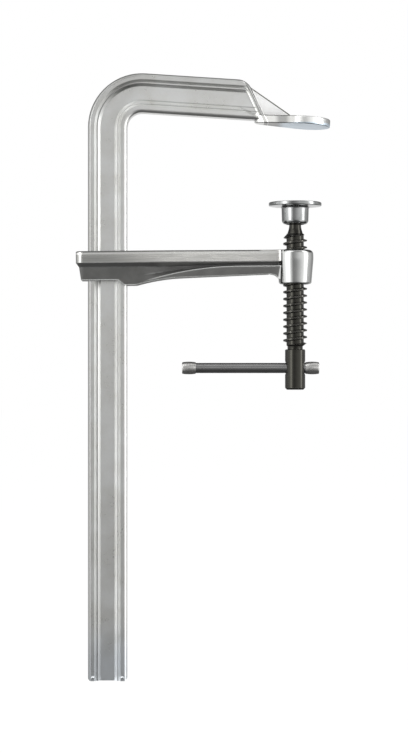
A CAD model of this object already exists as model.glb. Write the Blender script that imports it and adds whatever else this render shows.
# %% [markdown]
# # A screw clamp, dressed
# The clamp is all steel: a plated rail that is bent and forged into the fixed jaw, a forged
# arm that slides on the rail, a black threaded spindle with a tommy bar, and a bright plate
# that swivels on the spindle's ball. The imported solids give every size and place. This
# lesson gives them their metals, cuts the real thread, and sets up a studio round them.

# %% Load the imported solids
import bpy
import bmesh
import math
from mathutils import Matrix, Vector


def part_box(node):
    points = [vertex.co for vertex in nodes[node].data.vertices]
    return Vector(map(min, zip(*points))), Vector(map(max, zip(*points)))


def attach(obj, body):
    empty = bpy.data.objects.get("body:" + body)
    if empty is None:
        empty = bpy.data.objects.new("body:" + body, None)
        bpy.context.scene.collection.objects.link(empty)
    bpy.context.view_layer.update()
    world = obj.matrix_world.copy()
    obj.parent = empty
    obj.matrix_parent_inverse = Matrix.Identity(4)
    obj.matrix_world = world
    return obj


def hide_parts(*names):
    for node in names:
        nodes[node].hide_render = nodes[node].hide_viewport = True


# Blender works in metres, but small sizes read better in millimetres
MM = 0.001

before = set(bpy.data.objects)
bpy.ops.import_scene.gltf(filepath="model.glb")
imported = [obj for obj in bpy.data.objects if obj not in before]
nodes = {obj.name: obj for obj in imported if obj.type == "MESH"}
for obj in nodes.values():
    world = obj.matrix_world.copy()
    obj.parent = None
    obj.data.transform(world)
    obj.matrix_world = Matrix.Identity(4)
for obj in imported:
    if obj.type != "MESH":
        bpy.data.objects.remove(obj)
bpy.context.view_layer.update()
print("solids:", sorted(nodes))

# %% [markdown]
# ## Camera
# The picture was taken from straight in front, level, and from about 1.6 m away. A short
# lens close by would spread the rail's edges apart, so the camera stands back and has a
# long lens, which keeps them almost parallel. The clamp's frame has its origin on the fixed
# jaw's face, so the camera stands a little to the left of it and well below.

# %% Camera
CAMERA_PLACE = (-0.0760, -1.626, -0.209)
LENS_MM = 93.2
LONG_SIDE_MM = 36.0

camera_data = bpy.data.cameras.new("studio_camera")
camera_data.lens = LENS_MM
camera_data.sensor_width = LONG_SIDE_MM
camera = bpy.data.objects.new("studio_camera", camera_data)
camera.location = CAMERA_PLACE
camera.rotation_euler = (math.radians(90), 0, 0)
bpy.context.scene.collection.objects.link(camera)
bpy.context.scene.camera = camera
bpy.context.scene.view_settings.view_transform = "Standard"
print("camera at", CAMERA_PLACE, "with a lens of", LENS_MM, "mm")

# %% [markdown]
# ## Helpers for shader nodes
# A material is a tree of nodes. In Blender's window it is drawn by hand with links. In a
# script it is easier to read when each node is one line that names its inputs. An input is
# either a number, which is set, or another node's socket, which is linked.


# %% Add and feed nodes
def feed(tree, socket, value):
    """Link a socket to another node's socket, or set it to a number."""
    if isinstance(value, bpy.types.NodeSocket):
        tree.links.new(value, socket)
    else:
        socket.default_value = value


def add_node(tree, kind, inputs=None, **settings):
    """Add a node, set its options, and feed its inputs."""
    node = tree.nodes.new(kind)
    for name, value in settings.items():
        setattr(node, name, value)
    for name, value in (inputs or {}).items():
        feed(tree, node.inputs[name], value)
    return node


# %% Numbers made from numbers
def maths(tree, operation, first, second=0.0, clamp=False):
    """One Math node. It gives back its result's socket."""
    inputs = {0: first, 1: second}
    return add_node(
        tree, "ShaderNodeMath", inputs, operation=operation, use_clamp=clamp).outputs[0]


def times(tree, *factors):
    """The product of several numbers."""
    product = factors[0]
    for factor in factors[1:]:
        product = maths(tree, "MULTIPLY", product, factor)
    return product


def ramp(tree, value, low, high, start=0.0, end=1.0):
    """Value from low to high, moved smoothly to the range start to end."""
    inputs = {"Value": value, "From Min": low, "From Max": high, "To Min": start, "To Max": end}
    node = add_node(tree, "ShaderNodeMapRange", inputs, interpolation_type="SMOOTHSTEP")
    return node.outputs["Result"]


def blend(tree, share, first, second):
    """A number between first and second."""
    # A Mix node has sockets for several kinds of value, and 2 and 3 are its plain numbers
    inputs = {0: share, 2: first, 3: second}
    return add_node(tree, "ShaderNodeMix", inputs, data_type="FLOAT").outputs[0]


# %% Greys
def grey(level, tint=(1.0, 1.0, 1.0)):
    """A grey as linear RGBA, with a slight tint."""
    return tuple(level * part for part in tint) + (1.0,)


# %% [markdown]
# ## Studio
# Bright metal shows its surroundings, so most of its look is the room. The room is white,
# with a white floor some way under the clamp, and one soft lamp gives its shadows a
# direction. The floor's paper swallows a tenth of the light. A faint glow, which only
# camera, glossy and transmission rays see, makes up for it, so that the floor looks as
# white as the room and still takes the clamp's shadow. Reflections in the clamp look past
# the floor to the light tent below.

# %% White room and floor
STUDIO_CENTRE = (-0.08, 0.0, -0.21)
FLOOR_Z = -0.62
FLOOR_SIZE = 40.0
FLOOR_ALBEDO = 0.90

world = bpy.data.worlds.new("white_studio")
world.use_nodes = True
background = world.node_tree.nodes["Background"].inputs
background["Color"].default_value = grey(1.0)
background["Strength"].default_value = 1.0
bpy.context.scene.world = world

bpy.ops.object.select_all(action="DESELECT")
bpy.ops.mesh.primitive_plane_add(size=FLOOR_SIZE, location=(0, 0, FLOOR_Z))
floor = bpy.context.object
floor.name = "studio_floor"
paper = bpy.data.materials.new("white_paper_floor")
paper.use_nodes = True
tree = paper.node_tree
principled = tree.nodes["Principled BSDF"]
principled.inputs["Base Color"].default_value = grey(FLOOR_ALBEDO)
principled.inputs["Roughness"].default_value = 1.0
principled.inputs["Specular IOR Level"].default_value = 0.0
principled.inputs["Emission Color"].default_value = grey(1.0)
rays = add_node(tree, "ShaderNodeLightPath").outputs
seen = maths(tree, "MAXIMUM", rays["Is Camera Ray"], rays["Is Glossy Ray"])
seen = maths(tree, "MAXIMUM", seen, rays["Is Transmission Ray"])
feed(tree, principled.inputs["Emission Strength"], times(tree, seen, 1.0 - FLOOR_ALBEDO))
floor.data.materials.append(paper)
floor.visible_glossy = False
print("floor at", FLOOR_Z, "m")

# %% Soft key light
KEY_POWER = 6.0
KEY_SIZE = 1.2
KEY_PLACE = (-1.0, -1.2, 1.6)

key_data = bpy.data.lights.new("soft_key", "AREA")
key_data.energy = KEY_POWER
key_data.size = KEY_SIZE
key = bpy.data.objects.new("soft_key", key_data)
key.location = KEY_PLACE
bpy.context.scene.collection.objects.link(key)
aim = bpy.data.objects.new("key_aim", None)
aim.location = STUDIO_CENTRE
bpy.context.scene.collection.objects.link(aim)
track = key.constraints.new("TRACK_TO")
track.target = aim
track.track_axis = "TRACK_NEGATIVE_Z"
track.up_axis = "UP_Y"
print("key light at", KEY_PLACE)

# %% [markdown]
# ### Light tent
# Round the clamp stands a light tent, which only reflections see. Lamps could give the same
# highlights, but each one would also light the floor, and its edges are hard to place. On
# the tent every direction has its own tone. It is grey behind the camera, so that flat
# faces turn grey, bright on both sides, so that bevels light up, and dark above and below
# the back, which draws thin dark outlines.

# %% Tones of the tent
# At eye level: degrees from the camera's side towards the clamp's right, and the light that
# comes from there
TENT_TONES = (
    (-180, 0.90), (-166, 0.55), (-150, 0.30), (-130, 0.34), (-112, 0.60), (-92, 1.30),
    (-74, 1.35), (-62, 2.10), (-46, 5.00), (-36, 2.00), (-28, 1.00), (-21, 0.62),
    (-15, 0.36), (-7, 0.455), (2, 0.56), (10, 0.72), (20, 0.92), (32, 1.10), (52, 1.30),
    (63, 2.20), (75, 5.80), (85, 1.40), (92, 0.86), (112, 0.70), (130, 0.42), (150, 0.36),
    (180, 0.90),
)
# The same a little below eye level, where the camera's stand and table are dark
TENT_LOW_TONES = (
    (-180, 0.90), (-110, 0.70), (-60, 1.60), (-42, 1.60), (-29, 1.05), (-22, 0.66),
    (-16, 0.38), (-10, 0.20), (9, 0.20), (21, 0.34), (30, 0.52), (37, 0.83), (46, 1.20),
    (60, 1.60), (82, 1.20), (92, 0.80), (112, 0.62), (180, 0.90),
)
TENT_FULL = 6.0
# Tones of the other parts, and the heights in degrees over which each part comes in
EYE_HEIGHTS = (-14.0, 4.0)
TENT_DOWN, DOWN_HEIGHTS = 0.10, (-22.0, -50.0)
TENT_OVER_CAMERA, OVER_HEIGHTS = 0.36, (22.0, 40.0)
TENT_UP, UP_HEIGHTS = 0.85, (50.0, 66.0)
TENT_SHADE, STEEP_HEIGHTS = 0.10, (12.0, 24.0)
# How far forward and back, as shares of the tent's radius
FRONT_SHARES = (0.25, 0.55)
BACK_SHARES = (0.08, 0.30)
print(len(TENT_TONES), "tones at eye level,", len(TENT_LOW_TONES), "below it")


# %% A curve through tones
def tone_curve(tree, value, low, high, tones, full):
    """A smooth curve through tones, each at its own place between low and high."""
    # A colour ramp is written from 0 to 1, so it holds places and tones as shares
    share = maths(tree, "DIVIDE", maths(tree, "SUBTRACT", value, low), high - low, clamp=True)
    node = add_node(tree, "ShaderNodeValToRGB", {"Fac": share})
    stops = node.color_ramp.elements
    node.color_ramp.interpolation = "EASE"
    for index, (place, tone) in enumerate(tones):
        at = (place - low) / (high - low)
        stop = stops[index] if index < len(stops) else stops.new(at)
        stop.position = at
        stop.color = grey(tone / full)
    return times(tree, node.outputs["Color"], full)


# %% Light tent
TENT_RADIUS = 3.0

bpy.ops.object.select_all(action="DESELECT")
bpy.ops.mesh.primitive_uv_sphere_add(
    segments=48, ring_count=24, radius=TENT_RADIUS, location=(0, 0, 0))
tent = bpy.context.object
tent.name = "light_tent"
tent.location = STUDIO_CENTRE
cloth = bpy.data.materials.new("light_tent")
cloth.use_nodes = True
tree = cloth.node_tree
tree.nodes.clear()
place = add_node(tree, "ShaderNodeTexCoord").outputs["Object"]
xyz = add_node(tree, "ShaderNodeSeparateXYZ", {0: place}).outputs
forward = times(tree, xyz["Y"], -1.0)
azimuth = maths(tree, "DEGREES", maths(tree, "ARCTAN2", xyz["X"], forward))
rise = maths(tree, "ARCSINE", maths(tree, "DIVIDE", xyz["Z"], TENT_RADIUS))
height = maths(tree, "DEGREES", rise)
front = ramp(tree, forward, *(share * TENT_RADIUS for share in FRONT_SHARES))
back = ramp(tree, xyz["Y"], *(share * TENT_RADIUS for share in BACK_SHARES))
steep = ramp(tree, maths(tree, "ABSOLUTE", height), *STEEP_HEIGHTS)
eye = tone_curve(tree, azimuth, -180, 180, TENT_TONES, TENT_FULL)
level = tone_curve(tree, azimuth, -180, 180, TENT_LOW_TONES, TENT_FULL)
level = blend(tree, ramp(tree, height, *EYE_HEIGHTS), level, eye)
over_camera = times(tree, front, ramp(tree, height, *OVER_HEIGHTS))
level = blend(tree, over_camera, level, TENT_OVER_CAMERA)
level = blend(tree, ramp(tree, height, *UP_HEIGHTS), level, TENT_UP)
level = blend(tree, ramp(tree, height, *DOWN_HEIGHTS), level, TENT_DOWN)
level = blend(tree, times(tree, back, steep), level, TENT_SHADE)
shine = add_node(tree, "ShaderNodeEmission", {"Strength": level})
add_node(tree, "ShaderNodeOutputMaterial", {"Surface": shine.outputs[0]})
tent.data.materials.append(cloth)
tent.visible_camera = False
tent.visible_diffuse = False
tent.visible_transmission = False
tent.visible_shadow = False
print("tent of", TENT_RADIUS, "m")

# %% [markdown]
# ## Shared surface effects
# Steel that has been rolled, forged or plated is never one even tone. Four small groups
# make what these metals share: a cloudy mottle, fine pits, grain that runs one way, and
# masks for worn edges and for the hollows where dirt and dull plating stay. As groups they
# are built once, and each material places them with its own sizes and amounts. The patterns
# follow object coordinates, in metres, so each has its real scale on every piece.


# %% Start a node group
def new_group(name, inputs, outputs):
    """An empty node group with named inputs and outputs. Inputs give their default values."""
    group = bpy.data.node_groups.new(name, "ShaderNodeTree")
    for title, default in inputs.items():
        kind = "NodeSocketVector" if default is None else "NodeSocketFloat"
        socket = group.interface.new_socket(title, in_out="INPUT", socket_type=kind)
        if default is not None:
            socket.default_value = default
    for title in outputs:
        group.interface.new_socket(title, in_out="OUTPUT", socket_type="NodeSocketFloat")
    entry = group.nodes.new("NodeGroupInput")
    leave = group.nodes.new("NodeGroupOutput")
    return group, entry.outputs, leave.inputs


# %% Mottle
CLOUD_RANGE = (0.3, 0.7)

mottle, given, result = new_group(
    "mottle", {"Vector": None, "Scale": 100.0, "Detail": 4.0}, ["Amount"])
cloud = add_node(mottle, "ShaderNodeTexNoise", {
    "Vector": given["Vector"], "Scale": given["Scale"], "Detail": given["Detail"],
    "Roughness": 0.6})
feed(mottle, result["Amount"], ramp(mottle, cloud.outputs["Fac"], *CLOUD_RANGE))
print("made", mottle.name)

# %% Pits
pits, given, result = new_group(
    "pits", {"Vector": None, "Scale": 900.0, "Spread": 0.35}, ["Depth"])
cells = add_node(pits, "ShaderNodeTexVoronoi", {
    "Vector": given["Vector"], "Scale": given["Scale"], "Randomness": 1.0},
    feature="SMOOTH_F1")
depth = add_node(pits, "ShaderNodeMapRange", {
    "Value": cells.outputs["Distance"], "From Min": 0.0, "From Max": given["Spread"]})
feed(pits, result["Depth"], depth.outputs["Result"])
print("made", pits.name)

# %% Grain
STREAK_RANGE = (0.3, 0.7)

grain, given, result = new_group(
    "grain", {"Vector": None, "Scale": 900.0, "Stretch": 30.0}, ["Streak"])
parts = add_node(grain, "ShaderNodeSeparateXYZ", {0: given["Vector"]}).outputs
along = maths(grain, "DIVIDE", parts["X"], given["Stretch"])
drawn = add_node(grain, "ShaderNodeCombineXYZ", {"X": along, "Y": parts["Y"], "Z": parts["Z"]})
lines = add_node(grain, "ShaderNodeTexNoise", {
    "Vector": drawn.outputs[0], "Scale": given["Scale"], "Detail": 3.0, "Roughness": 0.55})
feed(grain, result["Streak"], ramp(grain, lines.outputs["Fac"], *STREAK_RANGE))
print("made", grain.name)

# %% Edges and crevices
# A bevel node rounds the normal near an edge. Where that turns it away from the true
# normal, and the open air is near, an edge is rubbed. Where little open air is in reach,
# there is a crevice.
EDGE_SAMPLES = 6
OUTER_AIR = (0.80, 0.97)
CREVICE_AIR = (0.95, 0.45)

edges, given, result = new_group(
    "edges", {"Radius": 0.6 * MM, "Reach": 0.12, "Hollow": 2.0 * MM}, ["Wear", "Crevice"])
rounded = add_node(
    edges, "ShaderNodeBevel", {"Radius": given["Radius"]}, samples=EDGE_SAMPLES).outputs[0]
true_normal = add_node(edges, "ShaderNodeNewGeometry").outputs["Normal"]
turn = add_node(
    edges, "ShaderNodeVectorMath", {0: rounded, 1: true_normal}, operation="DOT_PRODUCT")
away = maths(edges, "SUBTRACT", 1.0, turn.outputs["Value"])
open_air = add_node(
    edges, "ShaderNodeAmbientOcclusion", {"Distance": given["Hollow"]},
    samples=EDGE_SAMPLES).outputs["AO"]
rubbed = times(
    edges, ramp(edges, away, 0.0, given["Reach"]), ramp(edges, open_air, *OUTER_AIR))
feed(edges, result["Wear"], rubbed)
feed(edges, result["Crevice"], ramp(edges, open_air, *CREVICE_AIR))
print("made", edges.name)

# %% [markdown]
# ## Materials
# Every metal here is a Principled BSDF. Base Color, Roughness and Normal change over the
# surface. Metallic is a plain number where one metal covers the whole piece, and a mask
# where a dull skin meets bare metal. Soft edges and strips across a piece are masks too,
# worked out from distances in the piece's own coordinates. An image could hold them, but it
# would need the piece unwrapped, and its pixels would show up close.


# %% Start, finish and place a metal
def new_metal(name, metallic=1.0):
    """A material with its Principled BSDF, ready for links."""
    material = bpy.data.materials.new(name)
    material.use_nodes = True
    principled = material.node_tree.nodes["Principled BSDF"]
    principled.inputs["Metallic"].default_value = metallic
    place = add_node(material.node_tree, "ShaderNodeTexCoord").outputs["Object"]
    return material, material.node_tree, principled, place


def set_finish(tree, principled, tone, rough):
    """Feed the colour and the roughness to the shader."""
    feed(tree, principled.inputs["Base Color"], tone)
    feed(tree, principled.inputs["Roughness"], rough)


def set_relief(tree, principled, height, distance):
    """Feed a height, which counts for distance in metres, to the shader's normal."""
    bump = add_node(
        tree, "ShaderNodeBump", {"Height": height, "Distance": distance, "Strength": 1.0})
    feed(tree, principled.inputs["Normal"], bump.outputs["Normal"])


def dress(node_name, material):
    """Give a carried solid its material."""
    solid = nodes[node_name]
    if not solid.data.materials:
        solid.data.materials.append(material)
    for slot in solid.material_slots:
        slot.material = material
    print(node_name, "wears", material.name)


# %% Colours in a metal
def mix_colours(tree, share, first, second):
    """A colour between first and second."""
    node = add_node(tree, "ShaderNodeMix", data_type="RGBA")
    sockets = {socket.identifier: socket for socket in node.inputs}
    for name, value in (("Factor_Float", share), ("A_Color", first), ("B_Color", second)):
        feed(tree, sockets[name], value)
    return next(socket for socket in node.outputs if socket.identifier == "Result_Color")


def lay_over(tree, tone, colour, mask, share=1.0):
    """Lay a colour over tone where the mask is 1, at a share of its full strength."""
    if share < 1.0:
        mask = times(tree, mask, share)
    return mix_colours(tree, mask, tone, colour)


def tinted(tree, tone, factor):
    """A colour times a number or another colour."""
    node = add_node(
        tree, "ShaderNodeVectorMath", {0: tone, 1: factor}, operation="MULTIPLY")
    return node.outputs["Vector"]


# %% Effects, soft edges and distances
def place_group(tree, group, **inputs):
    """Place a group in a material, feed its inputs, and give back its outputs."""
    node = add_node(tree, "ShaderNodeGroup", node_tree=group)
    for name, value in inputs.items():
        feed(tree, node.inputs[name], value)
    return node.outputs


def vary(tree, mask, first, last):
    """A number that goes from first, where the mask is 0, to last, where it is 1."""
    return ramp(tree, mask, 0.0, 1.0, first, last)


def soft_edge(tree, distance, edge_mm, tones=(0.0, 1.0)):
    """The first tone before a soft edge and the second past it. The edge is two places."""
    start, end = edge_mm
    return ramp(tree, distance, start * MM, end * MM, *tones)


def soft_strip(tree, distance, rise_mm, fall_mm):
    """A mask that is 1 between two soft edges."""
    return times(tree, soft_edge(tree, distance, rise_mm), soft_edge(tree, distance, fall_mm))


def diagonal(tree, first, second):
    """The length that two steps at right angles make together."""
    squares = [maths(tree, "POWER", step, 2.0) for step in (first, second)]
    return maths(tree, "SQRT", maths(tree, "ADD", *squares))


def slanted(tree, xyz, lean_deg, offset):
    """Distance in the XZ plane beyond a straight line that leans lean_deg from upright."""
    lean = math.radians(lean_deg)
    sideways = times(tree, xyz["X"], math.cos(lean))
    upward = times(tree, xyz["Z"], math.sin(lean))
    return maths(tree, "SUBTRACT", maths(tree, "ADD", sideways, upward), offset)


# %% [markdown]
# ### Plated rail
# The rail is rolled, bent and then zinc plated. The mill's rolls press some strips of the
# bar harder than others, so its tone changes across the bar but hardly along it. One number
# finds every strip: the distance across the bar, which is measured from a straight edge on
# the legs and from the bend's centre round the corner.

# %% Distance across the rail
RAIL_WIDTH = 32.5 * MM
BEND_CENTRE = (-127.6 * MM, -1.75 * MM)
BEND_INSIDE = 12.4 * MM
JAW_FALL_DEG = 3.7
JAW_OVER_FACE = 2.42 * MM

plated, tree, principled, place = new_metal("bright_zinc_plate")
xyz = add_node(tree, "ShaderNodeSeparateXYZ", {0: place}).outputs
left = maths(tree, "MINIMUM", maths(tree, "SUBTRACT", xyz["X"], BEND_CENTRE[0]), 0.0)
up = maths(tree, "MAXIMUM", maths(tree, "SUBTRACT", xyz["Z"], BEND_CENTRE[1]), 0.0)
round_bend = maths(tree, "SUBTRACT", diagonal(tree, left, up), BEND_INSIDE)
over_jaw = slanted(tree, xyz, 90 - JAW_FALL_DEG, JAW_OVER_FACE)
on_jaw = maths(tree, "GREATER_THAN", xyz["X"], BEND_CENTRE[0])
across = blend(tree, on_jaw, round_bend, over_jaw)
print("across the rail: 0 to", RAIL_WIDTH, "m")

# %% Strips left by the rolls
# Pairs: the distance in mm from the inner edge, and the share of the full brightness there
LEG_STRIPS = (
    (0.0, 0.86), (4.9, 0.86), (5.6, 1.0), (10.2, 1.0), (10.9, 0.89), (21.6, 0.90),
    (22.3, 0.44), (23.9, 0.44), (24.7, 0.47), (25.5, 0.60), (26.8, 0.62), (27.5, 0.85),
    (29.4, 0.86), (30.2, 0.50), (30.8, 0.25), (31.7, 0.28), (32.3, 0.62), (32.5, 0.62),
)
JAW_STRIPS = (
    (0.0, 0.98), (5.0, 1.0), (6.3, 1.0), (6.9, 0.50), (7.5, 0.97), (9.4, 1.0),
    (10.2, 0.56), (11.0, 1.0), (20.0, 0.97), (24.6, 0.93), (25.3, 1.0), (26.2, 0.95),
    (27.1, 0.60), (28.0, 0.90), (30.6, 0.90), (31.3, 0.45), (31.9, 0.30), (32.35, 0.85),
    (32.5, 0.85),
)
LEG_TO_JAW_MM = (-145, -115)


def strip_tones(strips):
    """The strips' tone at every distance across the rail."""
    tones = [(at * MM, tone) for at, tone in strips]
    return tone_curve(tree, across, 0.0, RAIL_WIDTH, tones, 1.0)


on_jaw_side = soft_edge(tree, xyz["X"], LEG_TO_JAW_MM)
strips = blend(tree, on_jaw_side, strip_tones(LEG_STRIPS), strip_tones(JAW_STRIPS))
print(len(LEG_STRIPS), "stops on the leg,", len(JAW_STRIPS), "on the jaw")

# %% [markdown]
# ### Rib, ridge and pad
# The jaw's forged end has its own tones. The rail's last corner, at the shoulder, is dull.
# The rib's sides come out of the dies pale and satin, its ridge is rubbed dark, and dirt
# stays in the crease at its root. The pad's edge is toned from heel to nose, and its under
# side is bright with a blue tinge. The end's outlines are straight in side view, so each
# mask is a distance from a slanted line.

# %% Forged end of the jaw
# Slanted lines: degrees from upright, and the distance from the frame's origin
SHOULDER = (25.5, -19.96 * MM)
RIDGE = (55.5, 5.21 * MM)
PAD_TOP = (86.3, 6.7 * MM)
# Soft edges, in mm from those lines, or in X or Z
FORGED_EDGE_MM = (0.0, 0.5)
RIB_EDGE_MM = (-0.3, 0.3)
RIDGE_EDGE_MM = (-1.3, -0.9)
CORNER_MM = ((-3.2, -2.6), (0.2, -0.4))
UNDER_EDGE_MM = (1.1, 0.5)
CREASE_MM = ((-1.1, -0.6), (1.0, 0.5))
CREASE_END_MM = (-2, -9)

past_shoulder = slanted(tree, xyz, *SHOULDER)
over_pad = slanted(tree, xyz, *PAD_TOP)
over_ridge = slanted(tree, xyz, *RIDGE)
forged_end = soft_edge(tree, past_shoulder, FORGED_EDGE_MM)
corner = soft_strip(tree, past_shoulder, *CORNER_MM)
rib = times(tree, forged_end, soft_edge(tree, over_pad, RIB_EDGE_MM))
ridge = times(tree, rib, soft_edge(tree, over_ridge, RIDGE_EDGE_MM))
under = times(tree, forged_end, soft_edge(tree, xyz["Z"], UNDER_EDGE_MM))
pad = times(tree, forged_end, maths(tree, "SUBTRACT", 1.0, rib))
crease = times(tree, soft_strip(tree, over_pad, *CREASE_MM), forged_end)
crease = times(tree, crease, soft_edge(tree, xyz["X"], CREASE_END_MM))
print("shoulder leans", SHOULDER[0], "degrees, the ridge", RIDGE[0])

# %% Tones of the pad's edge
CORNER_TONE = 0.30
HEEL_TONE = 0.36
BRUISE_TONE = 0.19
BRUISE_MM = ((-18, -13), (-4, -9))
HEEL_EDGE_MM = (-2, 3)
NOSE_MM = (14, 19)
NOSE_TONES = (0.97, 0.60)

nose = soft_edge(tree, xyz["X"], NOSE_MM, NOSE_TONES)
heel = blend(tree, soft_strip(tree, xyz["X"], *BRUISE_MM), HEEL_TONE, BRUISE_TONE)
pad_tone = blend(tree, soft_edge(tree, xyz["X"], HEEL_EDGE_MM), heel, nose)
strips = blend(tree, pad, strips, pad_tone)
strips = blend(tree, corner, strips, CORNER_TONE)
print("pad toned from", HEEL_TONE, "at its heel to", NOSE_TONES[1], "at its nose")

# %% Colours of the plating
ZINC_DULL = grey(0.93, (1.0, 1.0, 0.965))
ZINC_BRIGHT = grey(0.995, (0.99, 1.0, 0.985))
SPECK_GREY = grey(0.80)
RIB_SATIN = grey(0.93, (1.0, 1.0, 0.99))
UNDER_BLUE = grey(0.91, (0.79, 0.90, 1.0))
CREVICE_GREY = grey(0.22)
CREASE_GREY = grey(0.10)
RIDGE_GREY = grey(0.13, (1.0, 0.98, 0.90))
# The lowest part of the leg is a little darker and bluer
FOOT_TINT = (0.86, 0.89, 0.94)
FOOT_MM = (-405, -450)

clouds = place_group(tree, mottle, Vector=place, Scale=55.0, Detail=5.0)["Amount"]
specks = place_group(tree, mottle, Vector=place, Scale=700.0, Detail=3.0)["Amount"]
edge = place_group(tree, edges, Radius=0.6 * MM, Reach=0.15, Hollow=1.6 * MM)
tone = mix_colours(tree, clouds, ZINC_DULL, ZINC_BRIGHT)
tone = lay_over(tree, tone, SPECK_GREY, specks, share=0.14)
tone = tinted(tree, tone, strips)
foot = soft_edge(tree, xyz["Z"], FOOT_MM)
tone = mix_colours(tree, foot, tone, tinted(tree, tone, FOOT_TINT))
tone = lay_over(tree, tone, RIB_SATIN, rib)
tone = lay_over(tree, tone, UNDER_BLUE, under)
tone = lay_over(tree, tone, CREVICE_GREY, edge["Crevice"], share=0.7)
tone = lay_over(tree, tone, CREASE_GREY, crease, share=0.9)
tone = lay_over(tree, tone, RIDGE_GREY, ridge)
print("zinc from", ZINC_DULL[0], "to", ZINC_BRIGHT[0])

# %% Plated rail
ZINC_ROUGH = (0.27, 0.31)
SPECK_ROUGH = 0.03
RIB_ROUGH = 0.55
RIB_METALLIC = 0.30
ROLLED_SCALE = 2600.0
ROLLED_SHARE = 0.3
ZINC_RELIEF = 0.004 * MM

rolled = add_node(
    tree, "ShaderNodeTexNoise", {"W": across, "Scale": ROLLED_SCALE, "Detail": 2.0},
    noise_dimensions="1D").outputs["Fac"]
zinc_rough = maths(
    tree, "ADD", vary(tree, clouds, *ZINC_ROUGH), times(tree, specks, SPECK_ROUGH))
set_finish(tree, principled, tone, blend(tree, rib, zinc_rough, RIB_ROUGH))
feed(tree, principled.inputs["Metallic"], vary(tree, rib, 1.0, RIB_METALLIC))
relief = maths(tree, "ADD", times(tree, rolled, ROLLED_SHARE), specks)
set_relief(tree, principled, relief, ZINC_RELIEF)
dress("rail_with_fixed_jaw", plated)

# %% [markdown]
# ### Sliding arm
# The arm is a forging whose skin stays dark and satin. Its flat band is ground bright, and
# the boss is turned. Three materials on chosen faces would meet in a ragged line, because
# the mesh's triangles don't follow the ground edge. So one material makes all three: the
# band is a height under the arm's top face, and the boss is a distance from the spindle's
# axis.

# %% Places on the arm
ARM_TOP = (-0.15625, 0.0, -0.1051)
ARM_RISE_DEG = 0.57
BAND_EDGE_MM = (-9.8, -9.3)
BOSS_EDGE_MM = (15.6, 15.2)

forged, tree, principled, place = new_metal("forged_and_ground_steel", metallic=0.0)
along_arm = add_node(tree, "ShaderNodeMapping", {
    "Vector": place, "Location": ARM_TOP, "Rotation": (0, math.radians(-ARM_RISE_DEG), 0)},
    vector_type="TEXTURE").outputs["Vector"]
arm_xyz = add_node(tree, "ShaderNodeSeparateXYZ", {0: along_arm}).outputs
xyz = add_node(tree, "ShaderNodeSeparateXYZ", {0: place}).outputs
band = soft_edge(tree, arm_xyz["Z"], BAND_EDGE_MM)
boss = soft_edge(tree, diagonal(tree, xyz["X"], xyz["Y"]), BOSS_EDGE_MM)
streak = place_group(tree, grain, Vector=along_arm, Scale=1100.0, Stretch=60.0)["Streak"]
clouds = place_group(tree, mottle, Vector=place, Scale=60.0, Detail=5.0)["Amount"]
scale_pits = place_group(tree, pits, Vector=place, Scale=700.0, Spread=0.5)["Depth"]
edge = place_group(tree, edges, Radius=1.3 * MM, Reach=0.06, Hollow=2.0 * MM)
print("the arm rises", ARM_RISE_DEG, "degrees")

# %% Forged skin
# The skin is paler away from the rail. Near the rail a dark bevel lies under the band.
SKIN_TINT = (1.0, 1.0, 0.96)
SKIN_DARK, SKIN_LIGHT = grey(0.072, (1.0, 1.0, 0.95)), grey(0.102, SKIN_TINT)
PALE_DARK, PALE_LIGHT = grey(0.098, SKIN_TINT), grey(0.130, SKIN_TINT)
PALE_FROM_MM = (25, 50)
SKIN_WORN = grey(0.70, (0.98, 1.0, 0.98))
BEVEL_MM = ((-13.9, -13.4), (-9.6, -10.2))
BEVEL_END_MM = (50, 36)
LINE_GREY = grey(0.03)

skin = mix_colours(tree, clouds, SKIN_DARK, SKIN_LIGHT)
paler = mix_colours(tree, clouds, PALE_DARK, PALE_LIGHT)
skin = mix_colours(tree, soft_edge(tree, arm_xyz["X"], PALE_FROM_MM), skin, paler)
skin = lay_over(tree, skin, SKIN_WORN, edge["Wear"], share=0.95)
bevel = soft_strip(tree, arm_xyz["Z"], *BEVEL_MM)
bevel = times(tree, bevel, soft_edge(tree, arm_xyz["X"], BEVEL_END_MM))
skin = lay_over(tree, skin, LINE_GREY, bevel, share=0.7)
print("skin from", SKIN_DARK[0], "to", PALE_LIGHT[0])

# %% Ground band
# Some forging scale is left on the band near the rail. The grinding leaves a bright strip
# under the top edge, and the edge itself stays dark.
GROUND_TINT = (1.0, 0.99, 0.95)
GROUND_DARK, GROUND_LIGHT = grey(0.66, GROUND_TINT), grey(0.88, GROUND_TINT)
SCALED_DARK, SCALED_LIGHT = grey(0.37, SKIN_TINT), grey(0.54, SKIN_TINT)
SCALE_TO_GROUND_MM = (-10, 50)
GROUND_WORN = grey(0.92)
BURNISHED_MM = ((-3.1, -2.7), (-1.2, -1.6))
BURNISHED = grey(0.95, (1.0, 1.0, 0.97))
TOP_LINE_MM = (-1.3, -0.8)
TOP_LINE_END_MM = (-28, -31)
TOP_LINE_GREY = grey(0.10)

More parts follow.
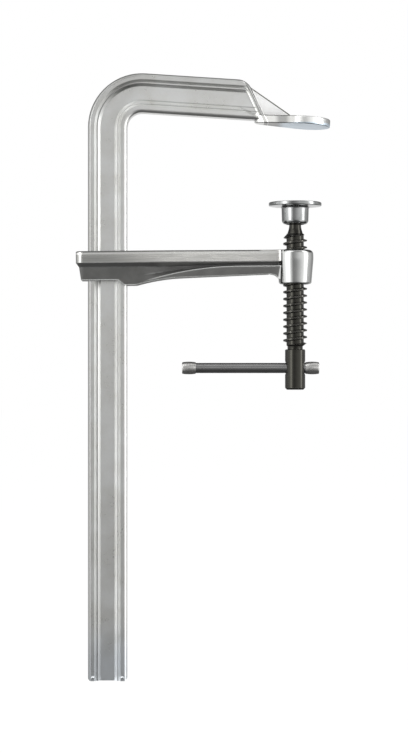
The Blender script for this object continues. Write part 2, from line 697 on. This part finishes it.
ground = mix_colours(tree, streak, GROUND_DARK, GROUND_LIGHT)
scaled = mix_colours(tree, streak, SCALED_DARK, SCALED_LIGHT)
ground = mix_colours(tree, soft_edge(tree, arm_xyz["X"], SCALE_TO_GROUND_MM), scaled, ground)
ground = lay_over(tree, ground, GROUND_WORN, edge["Wear"], share=0.8)
burnished = soft_strip(tree, arm_xyz["Z"], *BURNISHED_MM)
ground = lay_over(tree, ground, BURNISHED, burnished, share=0.8)
top_line = soft_edge(tree, arm_xyz["Z"], TOP_LINE_MM)
top_line = times(tree, top_line, soft_edge(tree, xyz["X"], TOP_LINE_END_MM))
ground = lay_over(tree, ground, TOP_LINE_GREY, top_line, share=0.85)
print("band from", SCALED_DARK[0], "to", GROUND_LIGHT[0])

# %% Sliding arm
# The turning tool leaves a dull line where it stops beside the boss
BOSS_TINT = (0.99, 1.0, 0.985)
BOSS_DARK, BOSS_LIGHT = grey(0.51, BOSS_TINT), grey(0.57, BOSS_TINT)
TOOL_LINE_MM = ((-12.6, -12.2), (-10.7, -11.1))
CREVICE_DIRT = grey(0.05)
SKIN_ROUGH = (0.56, 0.46)
GROUND_ROUGH = (0.34, 0.26)
BOSS_ROUGH = 0.15
STREAK_SHARE = 0.5
ARM_RELIEF = 0.02 * MM

tone = mix_colours(tree, band, skin, ground)
tone = mix_colours(tree, boss, tone, mix_colours(tree, clouds, BOSS_DARK, BOSS_LIGHT))
tool_line = soft_strip(tree, xyz["X"], *TOOL_LINE_MM)
tone = lay_over(tree, tone, LINE_GREY, tool_line, share=0.93)
tone = lay_over(tree, tone, CREVICE_DIRT, edge["Crevice"], share=0.8)
skin_rough = vary(tree, scale_pits, *SKIN_ROUGH)
ground_rough = vary(tree, streak, *GROUND_ROUGH)
rough = blend(tree, band, skin_rough, ground_rough)
set_finish(tree, principled, tone, blend(tree, boss, rough, BOSS_ROUGH))
bare = maths(tree, "MAXIMUM", band, boss)
feed(tree, principled.inputs["Metallic"], bare)
skin_relief = times(tree, scale_pits, maths(tree, "SUBTRACT", 1.0, bare))
band_relief = times(tree, streak, maths(tree, "SUBTRACT", band, boss, clamp=True))
relief = maths(tree, "ADD", skin_relief, times(tree, band_relief, STREAK_SHARE))
set_relief(tree, principled, relief, ARM_RELIEF)
dress("sliding_arm", forged)

# %% [markdown]
# ### Bright plate, caps, bar and ring
# The plate is turned and plated, so it is nearly a mirror. The caps are drawn from bright
# sheet and get knocked about. The bar is plain drawn steel with a dark oiled skin, and the
# ring is spring wire. Each needs little more than a mottle, and what sets them apart is how
# dark and how rough they are.

# %% Bright plate
PLATE_DARK, PLATE_LIGHT = grey(0.29, (0.97, 1.0, 0.99)), grey(0.37, (0.98, 1.0, 1.0))
PLATE_WORN = grey(0.8)
PLATE_DIRT = grey(0.08)
PLATE_ROUGH = (0.10, 0.15)
TURNED_RELIEF = 0.006 * MM

mirror, tree, principled, place = new_metal("turned_bright_plate")
clouds = place_group(tree, mottle, Vector=place, Scale=120.0, Detail=4.0)["Amount"]
fine = place_group(tree, mottle, Vector=place, Scale=900.0, Detail=2.0)["Amount"]
edge = place_group(tree, edges, Radius=0.5 * MM, Reach=0.15, Hollow=1.5 * MM)
tone = mix_colours(tree, clouds, PLATE_DARK, PLATE_LIGHT)
tone = lay_over(tree, tone, PLATE_WORN, edge["Wear"], share=0.4)
tone = lay_over(tree, tone, PLATE_DIRT, edge["Crevice"], share=0.8)
set_finish(tree, principled, tone, vary(tree, clouds, *PLATE_ROUGH))
set_relief(tree, principled, fine, TURNED_RELIEF)
dress("pressure_plate", mirror)

# %% Caps
CAP_TINT = (1.0, 0.995, 0.97)
CAP_DARK, CAP_LIGHT = grey(0.56, CAP_TINT), grey(0.74, CAP_TINT)
CAP_WORN = grey(0.88)
CAP_DIRT = grey(0.05)
CAP_ROUGH = (0.34, 0.26)
DENT_RELIEF = 0.012 * MM

knocked, tree, principled, place = new_metal("knocked_bright_cap")
clouds = place_group(tree, mottle, Vector=place, Scale=300.0, Detail=3.0)["Amount"]
dents = place_group(tree, mottle, Vector=place, Scale=170.0, Detail=1.0)["Amount"]
edge = place_group(tree, edges, Radius=0.7 * MM, Reach=0.12, Hollow=1.5 * MM)
tone = mix_colours(tree, clouds, CAP_DARK, CAP_LIGHT)
tone = lay_over(tree, tone, CAP_WORN, edge["Wear"], share=0.7)
tone = lay_over(tree, tone, CAP_DIRT, edge["Crevice"], share=0.9)
set_finish(tree, principled, tone, vary(tree, clouds, *CAP_ROUGH))
set_relief(tree, principled, dents, DENT_RELIEF)
dress("bar_end_cap_left", knocked)
dress("bar_end_cap_right", knocked)

# %% Dark bar
OILED_DARK, OILED_LIGHT = grey(0.34), grey(0.42)
DRAWN_GREY = grey(0.30)
BAR_ROUGH = (0.26, 0.20)
DRAWN_RELIEF = 0.0003 * MM

oiled, tree, principled, place = new_metal("dark_drawn_bar")
streak = place_group(tree, grain, Vector=place, Scale=600.0, Stretch=40.0)["Streak"]
clouds = place_group(tree, mottle, Vector=place, Scale=60.0, Detail=2.0)["Amount"]
tone = mix_colours(tree, clouds, OILED_DARK, OILED_LIGHT)
tone = lay_over(tree, tone, DRAWN_GREY, streak, share=0.2)
set_finish(tree, principled, tone, vary(tree, clouds, *BAR_ROUGH))
set_relief(tree, principled, streak, DRAWN_RELIEF)
dress("tommy_bar", oiled)

# %% Spring ring
WIRE_DARK, WIRE_LIGHT = grey(0.35), grey(0.5)
WIRE_ROUGH = (0.35, 0.25)

wire, tree, principled, place = new_metal("spring_wire")
clouds = place_group(tree, mottle, Vector=place, Scale=900.0, Detail=3.0)["Amount"]
tone = mix_colours(tree, clouds, WIRE_DARK, WIRE_LIGHT)
set_finish(tree, principled, tone, vary(tree, clouds, *WIRE_ROUGH))
dress("plate_retaining_ring", wire)

# %% [markdown]
# ### Black spindle
# Black oxide is a thin dark skin that keeps the steel's gloss, so it stays almost black
# but throws small hard highlights. A dark metal would lose them, because metal tints what
# it reflects. So the skin isn't metallic, and only the crests, where it wears to dark
# steel, are.

# %% Black oxide
OXIDE_DARK, OXIDE_LIGHT = grey(0.009, (1.0, 0.97, 0.90)), grey(0.015, (1.0, 0.98, 0.92))
OXIDE_GLOSS = 0.45
OXIDE_GLOSS_TINT = grey(1.0, (1.0, 0.98, 0.84))
OXIDE_DIRT = grey(0.002)
OXIDE_WORN = grey(0.34, (1.0, 0.97, 0.92))
WORN_METALLIC = 0.7
OXIDE_ROUGH = (0.15, 0.10)
OXIDE_RELIEF = 0.002 * MM

oxide, tree, principled, place = new_metal("black_oxide_steel", metallic=0.0)
principled.inputs["Specular IOR Level"].default_value = OXIDE_GLOSS
principled.inputs["Specular Tint"].default_value = OXIDE_GLOSS_TINT
clouds = place_group(tree, mottle, Vector=place, Scale=220.0, Detail=5.0)["Amount"]
fine = place_group(tree, pits, Vector=place, Scale=1500.0, Spread=0.5)["Depth"]
edge = place_group(tree, edges, Radius=0.4 * MM, Reach=0.25, Hollow=2.0 * MM)
tone = mix_colours(tree, clouds, OXIDE_DARK, OXIDE_LIGHT)
tone = lay_over(tree, tone, OXIDE_DIRT, edge["Crevice"])
tone = lay_over(tree, tone, OXIDE_WORN, edge["Wear"])
set_finish(tree, principled, tone, vary(tree, clouds, *OXIDE_ROUGH))
feed(tree, principled.inputs["Metallic"], times(tree, edge["Wear"], WORN_METALLIC))
set_relief(tree, principled, fine, OXIDE_RELIEF)
print("made", oxide.name)

# %% [markdown]
# ### Threaded spindle
# The solid spindle has a plain cylinder where the thread is. Here the thread is cut in
# full: one right-hand trapezoidal thread of about 5.75 mm pitch. Rings of extruded faces
# would look like one, but they wouldn't climb. A screw modifier sweeps the outline of one
# turn up the rod, which is how a lathe tool moves. Two turned bodies finish it: an envelope
# cuts the thread's ends to run out, and a core carries the ball, the neck and the head.
# Booleans join them, as the real one is a single piece.

# %% Sizes of the spindle
spindle_low, spindle_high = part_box("spindle")
HEAD_END = spindle_low.z
BALL_TOP = spindle_high.z
BALL_RADIUS = 7.5 * MM
BALL_CENTRE = BALL_TOP - BALL_RADIUS
NECK_RADIUS = 5.0 * MM
NECK_LENGTH = 7.0 * MM
HEAD_RADIUS = 8.45 * MM
HEAD_LENGTH = 33.6 * MM
HEAD_TOP = HEAD_END + HEAD_LENGTH
# The thread stops a little way above the head
HEAD_GAP = 2.4 * MM
THREAD_RADIUS = spindle_high.x
THREAD_LENGTH = 93.0 * MM
THREAD_END = HEAD_TOP + HEAD_GAP
THREAD_START = THREAD_END + THREAD_LENGTH
ROOT_RADIUS = 7.25 * MM
RUNOUT_RADIUS = 6.4 * MM
PITCH = 5.75 * MM
CREST_WIDTH = 1.1 * MM
ROOT_WIDTH = 2.9 * MM
# The height of one crest on the left side sets how far round the thread starts
CREST_AT_LEFT = -132.95 * MM
print("thread from", round(THREAD_START, 4), "to", round(THREAD_END, 4))

# %% [markdown]
# ### Turned shapes
# A lathe makes a round piece from one half outline, and so does the spin operator. The
# outline is drawn point by point with extrude, as a pen would draw it. A cylinder with
# edited rings would do for the head, but not so easily for the ball and the flared neck.

# %% Helpers for turned and swept shapes
TURN_STEPS = 72
SAME_POINT = 1e-6


def select_only(piece):
    """Select one object, and nothing else, and make it the active one."""
    bpy.ops.object.select_all(action="DESELECT")
    piece.select_set(True)
    bpy.context.view_layer.objects.active = piece


def close_up():
    """Merge the points that meet, in edit mode, and turn every face outwards."""
    bpy.ops.mesh.select_all(action="SELECT")
    bpy.ops.mesh.remove_doubles(threshold=SAME_POINT)
    bpy.ops.mesh.normals_make_consistent(inside=False)


def pen_stroke(name, points):
    """A line of edges in the plane y = 0, drawn by extruding one point again and again."""
    bpy.ops.object.select_all(action="DESELECT")
    bpy.ops.mesh.primitive_plane_add(size=MM, location=(0, 0, 0))
    piece = bpy.context.object
    piece.name = name
    bpy.ops.object.mode_set(mode="EDIT")
    bpy.ops.mesh.merge(type="CENTER")
    here = (0.0, 0.0)
    for index, (x, z) in enumerate(points):
        move = (x - here[0], 0, z - here[1])
        if index:
            bpy.ops.mesh.extrude_region_move(TRANSFORM_OT_translate={"value": move})
        else:
            bpy.ops.transform.translate(value=move)
        here = (x, z)
    bpy.ops.object.mode_set(mode="OBJECT")
    return piece


def turned(name, points, steps=TURN_STEPS):
    """A closed turned body from its half outline, which starts and ends on the axis."""
    piece = pen_stroke(name, points)
    bpy.ops.object.mode_set(mode="EDIT")
    bpy.ops.mesh.select_all(action="SELECT")
    bpy.ops.mesh.spin(steps=steps, angle=2 * math.pi, center=(0, 0, 0), axis=(0, 0, 1))
    close_up()
    bpy.ops.object.mode_set(mode="OBJECT")
    return piece


def combine(piece, other, operation):
    """Join, cut or meet piece with other, and delete other."""
    select_only(piece)
    tool = piece.modifiers.new(operation.lower(), "BOOLEAN")
    tool.operation = operation
    tool.object = other
    tool.solver = "EXACT"
    bpy.ops.object.modifier_apply(modifier=tool.name)
    bpy.data.objects.remove(other)
    print(operation.lower(), "leaves", len(piece.data.polygons), "faces")


# %% One turn of thread, swept up the rod
# The sweep is longer than the thread, and two flat cuts trim it a little beyond each end
SPARE_TURNS = 3
TRIM = 1.0 * MM

flank = (PITCH - CREST_WIDTH - ROOT_WIDTH) / 2
crest_half = CREST_WIDTH / 2
tooth = [
    (-ROOT_RADIUS, -PITCH / 2),
    (-ROOT_RADIUS, -crest_half - flank),
    (-THREAD_RADIUS, -crest_half),
    (-THREAD_RADIUS, crest_half),
    (-ROOT_RADIUS, crest_half + flank),
    (-ROOT_RADIUS, PITCH / 2),
]
turns = math.ceil(THREAD_LENGTH / PITCH) + SPARE_TURNS
turns_below = math.ceil((CREST_AT_LEFT - THREAD_END) / PITCH + 1)
first_crest = CREST_AT_LEFT - PITCH * turns_below
thread = pen_stroke("threaded_spindle", [(x, z + first_crest) for x, z in tooth])
sweep = thread.modifiers.new("sweep", "SCREW")
sweep.axis = "Z"
sweep.angle = 2 * math.pi
sweep.screw_offset = PITCH
sweep.iterations = turns
sweep.steps = TURN_STEPS
sweep.render_steps = TURN_STEPS
sweep.use_merge_vertices = True
sweep.merge_threshold = SAME_POINT
bpy.ops.object.modifier_apply(modifier=sweep.name)
bpy.ops.object.mode_set(mode="EDIT")
for height, upper in ((THREAD_END - TRIM, False), (THREAD_START + TRIM, True)):
    bpy.ops.mesh.select_all(action="SELECT")
    bpy.ops.mesh.bisect(
        plane_co=(0, 0, height), plane_no=(0, 0, 1), use_fill=True,
        clear_outer=upper, clear_inner=not upper)
close_up()
bpy.ops.object.mode_set(mode="OBJECT")
print("swept", turns, "turns:", len(thread.data.polygons), "faces")

# %% Run the thread out at both ends
CLEAR = 1.0 * MM
TOP_RUNOUT_DEPTH = 0.6 * MM

depth = THREAD_RADIUS - ROOT_RADIUS
envelope = turned("envelope", [
    (0, THREAD_START + depth / 2),
    (ROOT_RADIUS - TOP_RUNOUT_DEPTH, THREAD_START + depth / 2),
    (THREAD_RADIUS + CLEAR, THREAD_START - depth - CLEAR),
    (THREAD_RADIUS + CLEAR, THREAD_END + depth + CLEAR),
    (ROOT_RADIUS - CLEAR, THREAD_END),
    (0, THREAD_END),
])
combine(thread, envelope, "INTERSECT")

# %% [markdown]
# ### Core and cross hole
# The real spindle is one turned bar: the ball that the plate swivels on, a flared neck, the
# root of the thread, and a head with a hole for the tommy bar. The hole's mouths are sunk,
# so that the bar's caps can seat in them. The core is a little thinner than the thread's
# root, because a boolean can fail where two faces lie on each other.

# %% Core: ball, neck, root and head
BALL_STEPS = 14
NECK_END = THREAD_START + NECK_LENGTH
FLARE = 0.35 * MM
FLARE_LENGTH = 2.2 * MM
CORE_RADIUS = ROOT_RADIUS - 0.15 * MM
CHAMFER = 0.6 * MM
END_CHAMFER = 1.5 * MM

neck_angle = math.acos(NECK_RADIUS / BALL_RADIUS)
arc = math.pi / 2 + neck_angle
ball_angles = [math.pi / 2 - arc * step / BALL_STEPS for step in range(1, BALL_STEPS + 1)]
ball_arc = [
    (BALL_RADIUS * math.cos(angle), BALL_CENTRE + BALL_RADIUS * math.sin(angle))
    for angle in ball_angles
]
core = turned("core", [(0, BALL_TOP)] + ball_arc + [
    (NECK_RADIUS, NECK_END),
    (NECK_RADIUS + FLARE, NECK_END - FLARE_LENGTH),
    (RUNOUT_RADIUS, THREAD_START + depth / 2),
    (CORE_RADIUS, THREAD_START),
    (CORE_RADIUS, THREAD_END + depth / 2),
    (RUNOUT_RADIUS, THREAD_END),
    (RUNOUT_RADIUS, HEAD_TOP),
    (HEAD_RADIUS - CHAMFER, HEAD_TOP),
    (HEAD_RADIUS, HEAD_TOP - CHAMFER),
    (HEAD_RADIUS, HEAD_END + END_CHAMFER),
    (HEAD_RADIUS - END_CHAMFER, HEAD_END),
    (0, HEAD_END),
])
combine(thread, core, "UNION")

# %% Cross hole with its sunk mouths
HOLE_PLAY = 0.3 * MM
HOLE_SINK = 1.6 * MM
DRILL_STEPS = 48
REACH = 2 * HEAD_RADIUS

bar_low, bar_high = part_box("tommy_bar")
bar_height = (bar_low.z + bar_high.z) / 2
hole_radius = (bar_high.z - bar_low.z) / 2 + HOLE_PLAY
mouth_radius = hole_radius + HOLE_SINK + REACH - HEAD_RADIUS
drill = turned("drill", [
    (0, -REACH),
    (mouth_radius, -REACH),
    (hole_radius, -HEAD_RADIUS + HOLE_SINK),
    (hole_radius, HEAD_RADIUS - HOLE_SINK),
    (mouth_radius, REACH),
    (0, REACH),
], steps=DRILL_STEPS)
select_only(drill)
drill.rotation_euler = (0, math.radians(90), 0)
drill.location = (0, 0, bar_height)
bpy.ops.object.transform_apply(location=True, rotation=True, scale=True)
combine(thread, drill, "DIFFERENCE")

# %% [markdown]
# ### One piece in the spindle's place
# Booleans leave points that almost meet, so they are merged once more. The thread's flanks
# and the head's edges stay crisp, and the small steps round the rod are smoothed. The piece
# then rides with the spindle's body and stands for the plain solid. Its mesh should be
# closed: an edge with other than two faces would be a hole.

# %% Finish the spindle
SMOOTH_DEG = 32
NEAR_POINT = 2e-6
M3_TO_MM3 = 1e9

select_only(thread)
bpy.ops.object.mode_set(mode="EDIT")
bpy.ops.mesh.select_all(action="SELECT")
bpy.ops.mesh.remove_doubles(threshold=NEAR_POINT)
bpy.ops.object.mode_set(mode="OBJECT")
bpy.ops.object.shade_smooth_by_angle(angle=math.radians(SMOOTH_DEG))
thread.data.materials.clear()
thread.data.materials.append(oxide)
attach(thread, "spindle")
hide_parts("spindle")
check = bmesh.new()
check.from_mesh(thread.data)
loose = sum(1 for edge in check.edges if len(edge.link_faces) != 2)
volume = round(check.calc_volume() * M3_TO_MM3)
print("spindle:", len(check.faces), "faces,", loose, "open edges, volume", volume, "mm3")
check.free()
